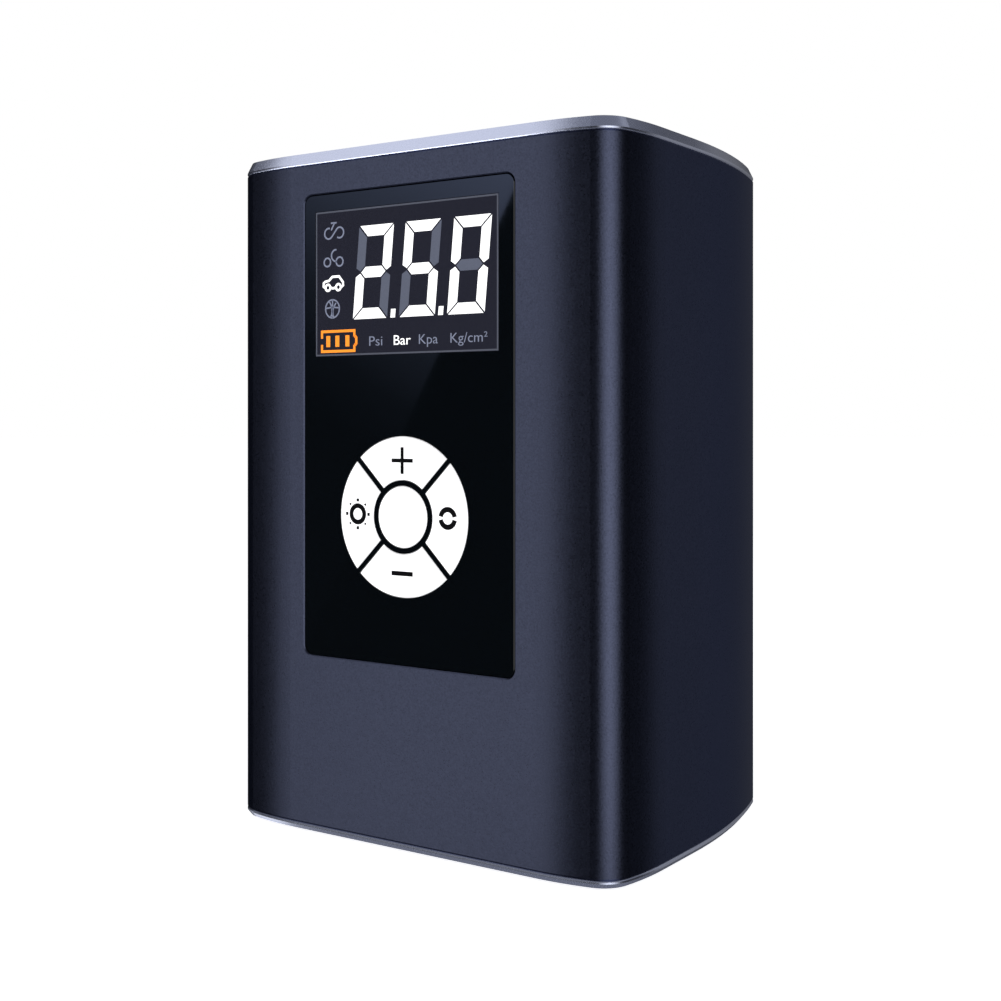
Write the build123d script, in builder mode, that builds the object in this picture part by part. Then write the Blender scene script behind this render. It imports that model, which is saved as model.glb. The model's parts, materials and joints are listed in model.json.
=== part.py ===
"""Cordless tyre inflator: extruded sleeve, black front panel, geared piston compressor and two cells.

Millimetres. +Z is up, the front faces -Y, and the origin is the centre of the base, under the feet.
"""

from build123d import *
from math import acos, atan2, cos, degrees, pi, radians, sin, tan
import os

# Body
width = 85.0
depth = 65.0
height = 124.0
wall = 1.6
corner_radius = 6.0
soft_radius = 50.0
soft_angle = 12.0
side_radius = 118.0
side_angle = 16.0
rear_radius = 6.0
end_chamfer = 0.2

# End caps
feet_height = 0.6
foot_radius = 4.5
top_rim = 2.4
top_bevel = 0.9
bottom_rim = 1.4
bottom_bevel = 0.7
rim_chamfer = 0.25
rim_land = 0.3
plug_height = 1.3
plug_gap = 0.1
plate_inset = 2.4
plate_thickness = 1.15
port_inset = 6.3
rear_port_inset_x = 9.6
rear_port_inset_y = 5.0
port_radius = 3.6
pilot_radius = 1.1
screw_hole_radius = 1.35
screw_head_radius = 2.05

# Front window, display and keypad
window_width = 46.0
window_bottom = 32.7
window_top = 116.1
window_radius = 1.8
window_chamfer = 0.2
panel_recess = 0.15
panel_gap = 0.1
panel_thickness = 1.5
panel_chamfer = 0.12
display_width = 40.1
display_height = 26.1
display_gap_above = 3.2
display_x = -0.3
keypad_x = -0.4
keypad_z = 58.5
keypad_radius = 13.9
key_web = 1.1
centre_key_radius = 5.3
key_gap = 0.12
key_travel = 0.5
key_chamfer = 0.12

# Compressor
pump_y = 0.0
motor_z = 19.5
motor_radius = 13.85
gear_module = 0.7
pinion_teeth = 12
crank_teeth = 42
pinion_shift = 0.3
backlash = 0.12
crank_radius = 4.5
bore_radius = 8.05
cylinder_x = 15.9
running_gap = 0.05

# Top-face fittings
outlet_x = 24.0
outlet_y = 0.0
lamp_x = -24.0
lamp_radius = 6.0
usb_y = 14.4
thread_radius = 3.5
thread_depth = 9.0

# Worked out from the above
front = -depth / 2
sleeve_bottom = feet_height + bottom_rim
sleeve_top = height - top_rim
inner_front = front + wall
panel_front = front + panel_recess
panel_back = panel_front + panel_thickness
display_top = window_top - display_gap_above
display_z = display_top - display_height / 2
centre_distance = gear_module * (pinion_teeth + crank_teeth) / 2
crank_z = motor_z + centre_distance
yoke_z = crank_z + crank_radius
stroke = 2 * crank_radius
port_bottom = sleeve_bottom + plug_height
floor_bottom = sleeve_top - plug_height
floor_top = height - plate_thickness
flange_front = panel_back + 0.05
flange_back = flange_front + 0.5

# A solid stands on its place, hangs below it, or stands on it with its front face there
base_align = (Align.CENTER, Align.CENTER, Align.MIN)
top_align = (Align.CENTER, Align.CENTER, Align.MAX)
front_align = (Align.CENTER, Align.MIN, Align.MIN)

os.makedirs("parts", exist_ok=True)


def save(part, name):
    """Labels a finished piece and writes its STEP file."""
    part.label = name
    export_step(part, f"parts/{name}.step")


def level(z):
    """Horizontal plane at height z."""
    return Plane.XY.offset(z)


def across(x):
    """Plane square to X: local x is Y, local y is Z, and it extrudes towards +X."""
    return Plane.YZ.offset(x)


def facing_front(y):
    """Plane square to Y: local x is X, local y is Z, and it extrudes towards the front."""
    return Plane.XZ.offset(-y)


def body_outline(z, inset=0.0):
    """Cross-section of the body at height z. Each front corner is a tight arc between two soft ones, and the
    sides close in at the rear."""
    turn_sin = sin(radians(soft_angle))
    turn_cos = cos(radians(soft_angle))
    front_run = soft_radius * (turn_sin + 1 - turn_cos) + corner_radius * (turn_cos - turn_sin)
    side_sin = sin(radians(side_angle))
    rear_run = side_radius * side_sin + rear_radius * (1 - side_sin)
    with BuildSketch(level(z)) as outline:
        with BuildLine():
            face_line = Line((0, front), (width / 2 - front_run, front))
            lead_in = JernArc(face_line @ 1, face_line % 1, soft_radius, soft_angle)
            turn = JernArc(lead_in @ 1, lead_in % 1, corner_radius, 90 - 2 * soft_angle)
            lead_out = JernArc(turn @ 1, turn % 1, soft_radius, soft_angle)
            side = Line(lead_out @ 1, (width / 2, depth / 2 - rear_run))
            close_in = JernArc(side @ 1, side % 1, side_radius, side_angle)
            rear_turn = JernArc(close_in @ 1, close_in % 1, rear_radius, 90 - side_angle)
            Line(rear_turn @ 1, (0, depth / 2))
            mirror(about=Plane.YZ)
        make_face()
        if inset:
            offset(amount=-inset)
    return outline.sketch


def port_locations(z=0.0):
    """The four corner screw ports at height z."""
    front_x = width / 2 - port_inset
    rear_x = width / 2 - rear_port_inset_x
    rear_y = depth / 2 - rear_port_inset_y
    places = [(front_x, front + port_inset), (rear_x, rear_y)]
    return [(side * x, y, z) for side in (-1, 1) for x, y in places]


# ---------------------------------------------------------------- housing


def make_sleeve():
    """Extruded aluminium tube with four screw ports and the chamfered front window."""
    window_z = (window_bottom + window_top) / 2
    window_height = window_top - window_bottom
    with BuildPart() as sleeve:
        extrude(body_outline(sleeve_bottom), amount=sleeve_top - sleeve_bottom)
        ends = sleeve.faces().filter_by(Axis.Z)
        chamfer(ends.edges(), end_chamfer)
        extrude(body_outline(sleeve_bottom, wall), amount=sleeve_top - sleeve_bottom, mode=Mode.SUBTRACT)
        with BuildSketch(level(port_bottom)):
            with Locations(*port_locations()):
                Circle(port_radius)
        extrude(amount=floor_bottom - port_bottom)
        with BuildSketch(level(port_bottom)):
            with Locations(*port_locations()):
                Circle(pilot_radius)
        extrude(amount=floor_bottom - port_bottom, mode=Mode.SUBTRACT)
        with BuildSketch(facing_front(inner_front)):
            with Locations((0, window_z)):
                RectangleRounded(window_width, window_height, window_radius)
        extrude(amount=2 * wall, mode=Mode.SUBTRACT)
        rim = sleeve.faces().sort_by(Axis.Y)[0].inner_wires()[0]
        chamfer(rim.edges(), window_chamfer)
    save(sleeve.part, "sleeve")


def make_top_cap():
    """Bevelled top rim with the floor that carries the outlet, lamp and charging socket."""
    land_bottom = sleeve_top + rim_chamfer
    bevel_bottom = land_bottom + rim_land
    bevel_height = height - bevel_bottom
    bevel_angle = degrees(atan2(top_bevel, bevel_height))
    with BuildPart() as top_cap:
        extrude(body_outline(floor_bottom, wall + plug_gap), amount=plug_height)
        extrude(body_outline(sleeve_top, rim_chamfer), amount=rim_chamfer, taper=-45)
        extrude(body_outline(land_bottom), amount=rim_land)
        extrude(body_outline(bevel_bottom), amount=bevel_height, taper=bevel_angle)
        extrude(body_outline(floor_top, plate_inset), amount=plate_thickness, mode=Mode.SUBTRACT)
        with BuildSketch(level(floor_bottom)):
            with Locations((outlet_x, outlet_y)):
                Circle(5.1)
            with Locations((lamp_x, 0)):
                Circle(lamp_radius + 0.8)
            with Locations((0, usb_y)):
                SlotOverall(9.4, 3.7)
            vent_slots(0.1)
        extrude(amount=height - floor_bottom, mode=Mode.SUBTRACT)
        with Locations(*port_locations(floor_top)):
            CounterSinkHole(screw_hole_radius, screw_head_radius + 0.1)
    save(top_cap.part, "top_cap")


def vent_slots(clearance):
    """Row of cooling slots in the middle of the top face, for the open sketch."""
    with GridLocations(4.0, 1, 6, 1):
        SlotOverall(13.0 + 2 * clearance, 1.7 + 2 * clearance, rotation=90)


def make_top_plate():
    """Black cover plate set into the top rim."""
    with BuildPart() as top_plate:
        extrude(body_outline(floor_top, plate_inset + 0.08), amount=plate_thickness - 0.1)
        with BuildSketch(level(floor_top)):
            with Locations((outlet_x, outlet_y)):
                Circle(6.8)
            with Locations((lamp_x, 0)):
                Circle(lamp_radius + 0.05)
            with Locations((0, usb_y)):
                SlotOverall(9.2, 3.5)
            vent_slots(0)
        extrude(amount=plate_thickness, mode=Mode.SUBTRACT)
        openings = top_plate.faces().sort_by(Axis.Z)[-1].inner_wires()
        chamfer([edge for opening in openings for edge in opening.edges()], 0.2)
    save(top_plate.part, "top_plate")


foot_places = [(x, y, 0) for x in (-27, 27) for y in (-21, 21)]


def make_bottom_cap():
    """Bevelled base with vents, foot recesses and countersunk screw holes."""
    land_top = sleeve_bottom - rim_chamfer
    bevel_height = land_top - rim_land - feet_height
    bevel_angle = degrees(atan2(bottom_bevel, bevel_height))
    with BuildPart() as bottom_cap:
        extrude(body_outline(sleeve_bottom, wall + plug_gap), amount=plug_height)
        extrude(body_outline(land_top), amount=rim_chamfer, taper=45)
        extrude(body_outline(land_top - rim_land), amount=rim_land)
        extrude(body_outline(feet_height, bottom_bevel), amount=bevel_height, taper=-bevel_angle)
        with BuildSketch(level(feet_height)):
            with GridLocations(4.2, 15.0, 9, 2):
                SlotOverall(11.0, 2.0, rotation=90)
        extrude(amount=bottom_rim + plug_height, mode=Mode.SUBTRACT)
        with BuildSketch(level(feet_height)):
            with Locations(*foot_places):
                Circle(foot_radius + 0.05)
        extrude(amount=0.8, mode=Mode.SUBTRACT)
        with Locations(*[Location(place, (180, 0, 0)) for place in port_locations(feet_height)]):
            CounterSinkHole(screw_hole_radius, screw_head_radius + 0.1)
    save(bottom_cap.part, "bottom_cap")


def make_feet():
    """Four rubber feet set into the base."""
    with BuildPart() as feet:
        with Locations(*foot_places):
            Cylinder(foot_radius, feet_height + 0.8, align=base_align)
        chamfer(feet.faces().filter_by(Axis.Z).group_by(Axis.Z)[0].edges(), 0.4)
    save(feet.part, "feet")


def cap_screw(place):
    """Countersunk cross-head screw, its head face at the origin of the place and its shank below."""
    with BuildPart(place) as screw:
        Cylinder(pilot_radius - 0.05, 8.0, align=top_align)
        Cone(pilot_radius - 0.05, screw_head_radius, 1.0, align=top_align)
        with Locations((0, 0, -0.35)):
            Box(2.6, 0.45, 0.7, mode=Mode.SUBTRACT)
            Box(0.45, 2.6, 0.7, mode=Mode.SUBTRACT)
    return screw.part


def make_cap_screws():
    """Four screws in each cap, driven into the sleeve's ports."""
    with BuildPart() as top_screws:
        for place in port_locations(floor_top - 0.05):
            add(cap_screw(Plane(place)))
    save(top_screws.part, "top_screws")
    with BuildPart() as bottom_screws:
        for place in port_locations(feet_height + 0.05):
            add(cap_screw(Plane(place, z_dir=(0, 0, -1))))
    save(bottom_screws.part, "bottom_screws")


# ---------------------------------------------------------------- front panel, display and keys

key_angles = {"key_plus": 0, "key_light": 90, "key_minus": 180, "key_mode": 270}
key_ring = centre_key_radius + key_web + 0.1
key_throw = 10.2


def quadrant_face(inner, outer, web, y, angle):
    """Quarter of a ring between two 45-degree webs, on the plane at y, turned by angle from the top."""
    apex = web / 2 * 2**0.5
    with BuildSketch(facing_front(y)) as face:
        with Locations((keypad_x, keypad_z)):
            Circle(outer)
            Circle(inner, mode=Mode.SUBTRACT)
        with Locations(Location((keypad_x, keypad_z, 0), (0, 0, angle))):
            Polygon((0, apex), (20, 20 + apex), (-20, 20 + apex), align=None, mode=Mode.INTERSECT)
    return face.sketch


def disc_face(radius, y):
    """Disc centred on the keypad, on the plane at y."""
    with BuildSketch(facing_front(y)) as face:
        with Locations((keypad_x, keypad_z)):
            Circle(radius)
    return face.sketch


def display_face_sketch(y, grow):
    """Display rectangle on the plane at y, grown on every side."""
    with BuildSketch(facing_front(y)) as face:
        with Locations((display_x, display_z)):
            Rectangle(display_width + 2 * grow, display_height + 2 * grow)
    return face.sketch


def make_front_panel():
    """Black panel with the display opening and five key apertures."""
    panel_height = window_top - window_bottom - 2 * panel_gap
    with BuildPart() as front_panel:
        with BuildSketch(facing_front(panel_back)):
            with Locations((0, (window_bottom + window_top) / 2)):
                RectangleRounded(window_width - 2 * panel_gap, panel_height, window_radius - panel_gap)
        extrude(amount=panel_thickness)
        chamfer(front_panel.faces().sort_by(Axis.Y)[0].edges(), panel_chamfer)
        extrude(display_face_sketch(panel_back, 0.05), amount=panel_thickness, mode=Mode.SUBTRACT)
        centre_aperture = disc_face(centre_key_radius + key_gap, panel_back)
        extrude(centre_aperture, amount=panel_thickness, mode=Mode.SUBTRACT)
        for angle in key_angles.values():
            aperture = quadrant_face(
                key_ring - key_gap, keypad_radius + key_gap, key_web - 2 * key_gap, panel_back, angle
            )
            extrude(aperture, amount=panel_thickness, mode=Mode.SUBTRACT)
    save(front_panel.part, "front_panel")


def make_keys():
    """Centre key and four quadrant keys, each with a retaining flange and a plunger."""
    key_front = panel_front - 0.1
    plunger_tip = flange_back + 1.15
    cap_height = flange_front - key_front
    for name, angle in key_angles.items():
        with BuildPart() as key:
            extrude(quadrant_face(key_ring, keypad_radius, key_web, flange_front, angle), amount=cap_height)
            chamfer(key.faces().sort_by(Axis.Y)[0].edges(), key_chamfer)
            extrude(quadrant_face(key_ring, keypad_radius + 1.0, key_web, flange_back, angle), amount=0.5)
            with BuildSketch(facing_front(plunger_tip)):
                with Locations(Location((keypad_x, keypad_z, 0), (0, 0, angle))):
                    with Locations((0, key_throw)):
                        Circle(1.1)
            extrude(amount=plunger_tip - flange_back)
        save(key.part, name)
    with BuildPart() as key_start:
        extrude(disc_face(centre_key_radius, flange_front), amount=cap_height)
        chamfer(key_start.faces().sort_by(Axis.Y)[0].edges(), key_chamfer)
        extrude(disc_face(centre_key_radius + 0.45, flange_back), amount=0.5)
        extrude(disc_face(1.1, plunger_tip), amount=plunger_tip - flange_back)
    save(key_start.part, "key_start")


def switch_places():
    """Centres of the five switches, as X and Z."""
    steps = [(0, 0), (0, key_throw), (0, -key_throw), (key_throw, 0), (-key_throw, 0)]
    return [(keypad_x + x, keypad_z + z) for x, z in steps]


board_front = panel_back + 4.1


def make_keypad_stack():
    """Silicone mat, tactile switches, carrier frame and the front circuit board."""
    mat_front = flange_back + key_travel + 0.1
    with BuildPart() as keypad_mat:
        extrude(disc_face(keypad_radius + 1.5, mat_front + 0.75), amount=0.75)
        with BuildSketch(facing_front(mat_front + 0.75)):
            with Locations(*switch_places()):
                Circle(1.6)
        extrude(amount=0.75, mode=Mode.SUBTRACT)
    save(keypad_mat.part, "keypad_mat")
    with BuildPart() as tact_switches:
        with BuildSketch(facing_front(board_front)):
            with Locations(*switch_places()):
                RectangleRounded(4.5, 4.5, 0.5)
        extrude(amount=1.4)
        with BuildSketch(facing_front(board_front - 1.4)):
            with Locations(*switch_places()):
                Circle(1.0)
        extrude(amount=0.35)
    save(tact_switches.part, "tact_switches")
    frame_height = window_top - window_bottom + 6.0
    post_places = [(x, z) for x in (-22.4, 22.4) for z in (window_bottom + 3, keypad_z + 22)]
    with BuildPart() as panel_carrier:
        with BuildSketch(facing_front(panel_back + 2.0)):
            with Locations((0, (window_bottom + window_top) / 2)):
                RectangleRounded(window_width + 6, frame_height, 2.0)
        extrude(amount=2.0)
        extrude(display_face_sketch(panel_back + 2.0, 0.2), amount=2.0, mode=Mode.SUBTRACT)
        extrude(disc_face(keypad_radius + 1.7, panel_back + 2.0), amount=2.0, mode=Mode.SUBTRACT)
        with BuildSketch(facing_front(board_front)):
            with Locations(*post_places):
                Circle(1.8)
        extrude(amount=board_front - panel_back - 1.0)
    save(panel_carrier.part, "panel_carrier")
    with BuildPart() as display_pcb:
        with BuildSketch(facing_front(board_front + 1.2)):
            with Locations((0, (window_bottom + window_top) / 2)):
                RectangleRounded(window_width + 2, window_top - window_bottom, 1.0)
        extrude(amount=1.2)
        with BuildSketch(facing_front(board_front + 3.2)):
            with Locations((8, 50)):
                Rectangle(9, 9)
            with Locations((-12, 62), (-12, 72)):
                Rectangle(5, 3)
        extrude(amount=2.0)
    save(display_pcb.part, "display_pcb")


def make_display():
    """Display window glass and the lit segment module behind it."""
    with BuildPart() as display_glass:
        extrude(display_face_sketch(panel_back - 0.25, 0), amount=panel_thickness - 0.3)
    save(display_glass.part, "display_glass")
    with BuildPart() as display_module:
        extrude(display_face_sketch(board_front, -1.2), amount=board_front - panel_back + 0.2)
    save(display_module.part, "display_module")


# ---------------------------------------------------------------- top-face fittings


def make_lamp():
    """Lens, reflector and light board of the work lamp."""
    floor = floor_bottom - 6.0
    cup_height = floor_top - 0.9 - floor
    with BuildPart() as lamp_lens:
        with Locations((lamp_x, 0, floor_top - 0.9)):
            Cylinder(lamp_radius, plate_thickness + 0.8, align=base_align)
        fillet(lamp_lens.faces().sort_by(Axis.Z)[-1].edges(), 0.4)
    save(lamp_lens.part, "lamp_lens")
    with BuildPart() as lamp_reflector:
        with Locations((lamp_x, 0, floor)):
            Cylinder(lamp_radius + 0.7, cup_height, align=base_align)
            Cone(2.2, lamp_radius, cup_height, align=base_align, mode=Mode.SUBTRACT)
    save(lamp_reflector.part, "lamp_reflector")
    with BuildPart() as lamp_board:
        with Locations((lamp_x, 0, floor)):
            Cylinder(lamp_radius + 0.7, 1.2, align=top_align)
            Box(2.6, 2.6, 0.7, align=base_align)
    save(lamp_board.part, "lamp_board")


def make_usb_socket():
    """Charging socket: a rounded metal shell with its contact tongue."""
    shell_bottom = height - 7.5
    with BuildPart() as usb_socket:
        with BuildSketch(level(shell_bottom)):
            with Locations((0, usb_y)):
                SlotOverall(8.94, 3.26)
        extrude(amount=7.35)
        with BuildSketch(level(shell_bottom + 1.0)):
            with Locations((0, usb_y)):
                SlotOverall(8.34, 2.66)
        extrude(amount=7.35, mode=Mode.SUBTRACT)
        with BuildSketch(level(shell_bottom + 0.5)):
            with Locations((0, usb_y)):
                Rectangle(6.7, 0.7)
        extrude(amount=6.0)
    save(usb_socket.part, "usb_socket")


def make_outlet():
    """Brass outlet with the hose thread, its rubber washer and its clamping nut."""
    barb_bottom = height - 22.0
    mouth = height - 0.4
    with BuildPart() as outlet_socket:
        with BuildSketch(Plane.XZ.offset(-outlet_y)):
            with BuildLine(Plane.XZ.offset(-outlet_y)):
                Polyline(
                    (outlet_x + 1.1, barb_bottom),
                    (outlet_x + 1.9, barb_bottom),
                    (outlet_x + 1.9, barb_bottom + 7),
                    (outlet_x + 5.0, barb_bottom + 9),
                    (outlet_x + 5.0, floor_top),
                    (outlet_x + 6.6, floor_top),
                    (outlet_x + 6.6, mouth - 0.3),
                    (outlet_x + 6.3, mouth),
                    (outlet_x + thread_radius + 0.4, mouth),
                    (outlet_x + thread_radius, mouth - 0.4),
                    (outlet_x + thread_radius, mouth - 0.4 - thread_depth),
                    (outlet_x + 1.1, mouth - 0.4 - thread_depth),
                    close=True,
                )
            make_face()
        revolve(axis=Axis((outlet_x, outlet_y, 0), (0, 0, 1)))
    save(outlet_socket.part, "outlet_socket")
    with BuildPart() as outlet_washer:
        with BuildSketch(level(floor_bottom - 0.8)):
            with Locations((outlet_x, outlet_y)):
                Circle(6.6)
                Circle(5.0, mode=Mode.SUBTRACT)
        extrude(amount=0.8)
    save(outlet_washer.part, "outlet_washer")
    with BuildPart() as outlet_nut:
        with BuildSketch(level(floor_bottom - 4.3)):
            with Locations((outlet_x, outlet_y)):
                RegularPolygon(6.6, 6, major_radius=False)
                Circle(5.0, mode=Mode.SUBTRACT)
        extrude(amount=3.5)
    save(outlet_nut.part, "outlet_nut")


# ---------------------------------------------------------------- cells and main board

cell_radius = 9.1
cell_bottom = 46.0
cell_length = 65.0
cell_places = [(-31.0, pump_y), (-12.4, pump_y)]


def make_battery():
    """Two round cells, their nickel tabs and the holder."""
    cell_top = cell_bottom + cell_length
    with BuildPart() as battery_cells:
        with BuildSketch(level(cell_bottom)):
            with Locations(*cell_places):
                Circle(cell_radius)
        extrude(amount=cell_length)
        fillet(battery_cells.edges().filter_by(GeomType.CIRCLE), 0.8)
    save(battery_cells.part, "battery_cells")
    with BuildPart() as battery_tabs:
        with BuildSketch(level(cell_bottom - 0.2)):
            with Locations(((cell_places[0][0] + cell_places[1][0]) / 2, pump_y)):
                Rectangle(26, 7)
        extrude(amount=0.2)
        with BuildSketch(level(cell_top)):
            with Locations(*cell_places):
                Rectangle(7, 12)
        extrude(amount=0.2)
    save(battery_tabs.part, "battery_tabs")
    tray_x = (cell_places[0][0] + cell_places[1][0]) / 2
    with BuildPart() as battery_holder:
        with Locations((tray_x, pump_y + 2.9, cell_bottom - 0.2)):
            Box(34, 25.8, 2.2, align=top_align)
        with Locations((tray_x, pump_y + 2.9, cell_top + 0.2)):
            Box(34, 25.8, 1.5, align=base_align)
        with Locations((tray_x, pump_y + cell_radius + 1.3, cell_bottom - 2.4)):
            Box(34, 2.0, cell_length + 4.3, align=base_align)
    save(battery_holder.part, "battery_holder")


def make_main_pcb():
    """Main board behind the cells, with its tall components on the rear side."""
    board_y = usb_y + 3.26 / 2
    with BuildPart() as main_pcb:
        with Locations((-17.0, board_y, 60)):
            Box(42, 1.6, 58, align=front_align)
        with Locations((-30, board_y + 1.6, 70), (-18, board_y + 1.6, 70)):
            Box(6, 4, 9, align=front_align)
        with Locations((-24, board_y + 1.6, 92)):
            Box(12, 1.6, 12, align=front_align)
        for z in (82, 94):
            with Locations(Location((-6, board_y + 1.6, z), (-90, 0, 0))):
                Cylinder(4.0, 6.5, align=base_align)
    save(main_pcb.part, "main_pcb")


# ---------------------------------------------------------------- motor

can_back = -29.0
bush_radius = 2.6
motor_shaft_radius = 1.15


def rod_x(x_start, x_end, radius, y, z):
    """Solid round bar along X."""
    with BuildPart() as rod:
        with BuildSketch(across(x_start)):
            with Locations((y, z)):
                Circle(radius)
        extrude(amount=x_end - x_start)
    return rod.part


def tube_x(x_start, x_end, radius, hole_radius, y, z):
    """Round tube along X."""
    with BuildPart() as tube:
        with BuildSketch(across(x_start)):
            with Locations((y, z)):
                Circle(radius)
                Circle(hole_radius, mode=Mode.SUBTRACT)
        extrude(amount=x_end - x_start)
    return tube.part


def make_motor_frame():
    """Steel can, plastic end bell, magnets, bushes and brushes."""
    with BuildPart() as motor_can:
        add(tube_x(can_back, 0, motor_radius, motor_radius - 1.2, pump_y, motor_z))
        add(tube_x(-1.2, 0, motor_radius, bush_radius, pump_y, motor_z))
        add(tube_x(-1.2, 2.0, 5.0, bush_radius, pump_y, motor_z))
    save(motor_can.part, "motor_can")
    with BuildPart() as motor_end_bell:
        add(tube_x(can_back - 3.0, can_back, motor_radius, bush_radius, pump_y, motor_z))
        add(tube_x(can_back, can_back + 2.0, motor_radius - 1.3, motor_radius - 3.0, pump_y, motor_z))
    save(motor_end_bell.part, "motor_end_bell")
    with BuildPart() as motor_bushes:
        hole = motor_shaft_radius + running_gap
        add(tube_x(-1.2, 2.0, bush_radius, hole, pump_y, motor_z))
        add(tube_x(can_back - 3.0, can_back, bush_radius, hole, pump_y, motor_z))
    save(motor_bushes.part, "motor_bushes")
    magnet_outer = motor_radius - 1.25
    with BuildPart() as motor_magnets:
        with BuildSketch(across(-25.0)):
            with Locations((pump_y, motor_z)):
                Circle(magnet_outer)
                Circle(magnet_outer - 1.9, mode=Mode.SUBTRACT)
                Rectangle(9, 40, mode=Mode.SUBTRACT)
        extrude(amount=20)
    save(motor_magnets.part, "motor_magnets")
    with BuildPart() as motor_brushes:
        for side in (-1, 1):
            with Locations((-27.4, pump_y, motor_z + side * 5.7)):
                Box(2.2, 2.6, 4.0)
    save(motor_brushes.part, "motor_brushes")


def make_rotor():
    """Shaft, five-pole core, windings, commutator and cooling fan."""
    save(rod_x(-38.5, 12.5, motor_shaft_radius, pump_y, motor_z), "motor_shaft")
    poles = 5
    with BuildPart() as armature_core:
        with BuildSketch(across(-23.0)):
            with Locations((pump_y, motor_z)):
                Circle(10.3)
                Circle(9.2, mode=Mode.SUBTRACT)
                with PolarLocations(9.8, poles, start_angle=180 / poles):
                    Rectangle(4, 2.0, mode=Mode.SUBTRACT)
                with PolarLocations(6.0, poles):
                    Rectangle(7.6, 2.4)
                Circle(3.6)
                Circle(motor_shaft_radius, mode=Mode.SUBTRACT)
        extrude(amount=16)
    save(armature_core.part, "armature_core")
    with BuildPart() as armature_windings:
        with BuildSketch(across(-24.2)):
            with Locations((pump_y, motor_z)):
                with PolarLocations(6.6, poles):
                    Rectangle(4.0, 5.0)
        extrude(amount=18.4)
        with BuildSketch(across(-23.0)):
            with Locations((pump_y, motor_z)):
                with PolarLocations(6.6, poles):
                    Rectangle(4.4, 2.4)
        extrude(amount=16, mode=Mode.SUBTRACT)
    save(armature_windings.part, "armature_windings")
    save(tube_x(-28.6, -24.6, 3.4, motor_shaft_radius, pump_y, motor_z), "commutator")
    blades = 9
    with BuildPart() as cooling_fan:
        add(tube_x(-38.0, -33.4, 3.4, motor_shaft_radius, pump_y, motor_z))
        add(tube_x(-34.4, -33.4, 12.4, 3.0, pump_y, motor_z))
        with BuildSketch(across(-38.0)):
            with Locations((pump_y, motor_z)):
                with PolarLocations(7.6, blades):
                    Rectangle(9.0, 1.0, rotation=18)
        extrude(amount=3.8)
    save(cooling_fan.part, "cooling_fan")


# ---------------------------------------------------------------- gears


def tooth_half_angle(radius, teeth, shift):
    """Half the angle a tooth covers at a radius, in radians, for a 20-degree involute."""
    pressure = radians(20)
    base = gear_module * teeth / 2 * cos(pressure)
    local = acos(min(1.0, base / radius))
    thickness = gear_module * (pi / 2 + 2 * shift * tan(pressure)) - backlash / 2
    return thickness / (gear_module * teeth) + tan(pressure) - pressure - tan(local) + local


def gear_tooth(teeth, shift):
    """One tooth pointing along local +Y, from inside the root circle to the tip circle."""
    base = gear_module * teeth / 2 * cos(radians(20))
    tip = gear_module * (teeth / 2 + 1 + shift)
    root = gear_module * (teeth / 2 - 1.25 + shift)
    start = max(base, root)
    steps = 4
    radii = [start + (tip - start) * i / steps for i in range(steps + 1)]
    angles = [tooth_half_angle(r, teeth, shift) for r in radii]
    flank = [(r * sin(a), r * cos(a)) for r, a in zip(radii, angles)]
    foot = (root - 0.4) * sin(angles[0]), (root - 0.4) * cos(angles[0])
    with BuildSketch() as tooth:
        with BuildLine():
            Line((0, root - 0.4), foot)
            Line(foot, flank[0])
            Spline(*flank)
            ThreePointArc(flank[-1], (0, tip), (-flank[-1][0], flank[-1][1]))
            mirror(about=Plane.YZ)
        make_face()
    return tooth.sketch


def gear_face(x, centre_z, teeth, shift, first_angle, hole_radius):
    """Whole gear profile on the plane at x, with one tooth centred at first_angle from local +X."""
    tooth = gear_tooth(teeth, shift)
    with BuildSketch(across(x)) as face:
        with Locations((pump_y, centre_z)):
            Circle(gear_module * (teeth / 2 - 1.25 + shift))
            with PolarLocations(0, teeth, start_angle=first_angle - 90):
                add(tooth)
            Circle(hole_radius, mode=Mode.SUBTRACT)
    return face.sketch


def make_gears():
    """Steel pinion on the motor shaft and the nylon crank gear above it, in mesh."""
    with BuildPart() as pinion:
        profile = gear_face(5.0, motor_z, pinion_teeth, pinion_shift, 90, motor_shaft_radius)
        extrude(profile, amount=7.0)
    save(pinion.part, "pinion")
    gap_down = -90 + 180 / crank_teeth
    with BuildPart() as crank_gear:
        profile = gear_face(5.5, crank_z, crank_teeth, -pinion_shift, gap_down, crank_shaft_radius)
        extrude(profile, amount=5.5)
        add(tube_x(4.1, 5.5, 4.6, crank_shaft_radius, pump_y, crank_z))
        with BuildSketch(across(5.5)):
            with Locations((pump_y, crank_z)):
                with PolarLocations(9.4, 5, start_angle=-90):
                    Circle(2.6)
        extrude(amount=5.5, mode=Mode.SUBTRACT)
        with BuildSketch(across(7.0)):
            with Locations((pump_y, yoke_z)):
                Circle(crank_pin_radius)
        extrude(amount=4.0, mode=Mode.SUBTRACT)
    save(crank_gear.part, "crank_gear")


# ---------------------------------------------------------------- crank, yoke and piston

crank_shaft_radius = 2.0
crank_pin_radius = 1.6
crank_bush_radius = 3.2
boss_back = -6.0
case_half_width = 18.0
case_bottom = 6.0
case_top = 57.0
case_depth = 24.0
yoke_back = 11.8
yoke_front = 20.0
slot_half_height = 3.25
block_half_width = 4.0
roller_radius = 3.2


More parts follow.
